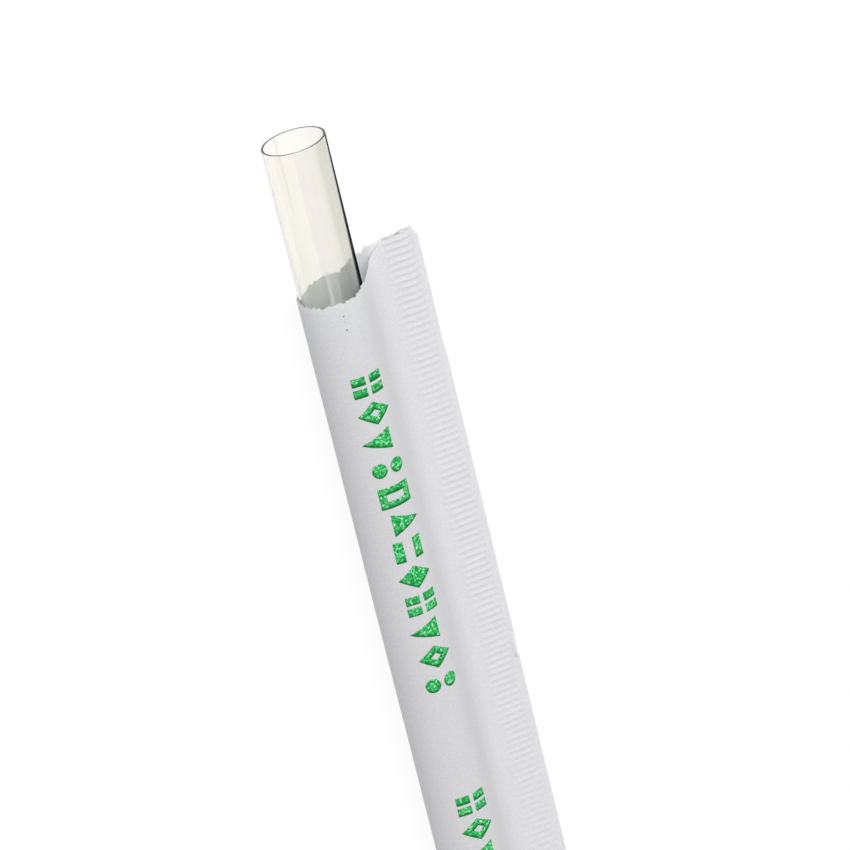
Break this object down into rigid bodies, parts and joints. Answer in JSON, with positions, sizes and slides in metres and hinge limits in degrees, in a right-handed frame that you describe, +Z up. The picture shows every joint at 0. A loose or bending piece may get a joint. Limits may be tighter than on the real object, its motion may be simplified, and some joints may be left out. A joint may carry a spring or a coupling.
{
  "type": "wrapped drinking straw",
  "caption": "Clear drinking straw standing out of the torn top of its white paper sleeve, which has a knurled fin seam along one side.",
  "frame": {"origin": "on the surface it lies on, under the middle of the whole object's box", "axes": "+X along the straw towards its open end, +Z up, and the sleeve's fin towards -Y"},
  "size_m": [0.2132, 0.0149, 0.0064],
  "materials": {
    "clear_plastic": "clear extruded drinking-straw plastic with a faint warm tint",
    "white_paper": "thin uncoated white wrapping paper with green printed marks"
  },
  "bodies": {
    "wrapper": {"wrapper": "white_paper"},
    "straw": {"straw": "clear_plastic"}
  },
  "joints": [
    {"name": "straw_slide", "type": "slide", "parent": "wrapper", "child": "straw", "axis": [1, 0, 0], "range_m": [-0.0015, 0.18]}
  ]
}
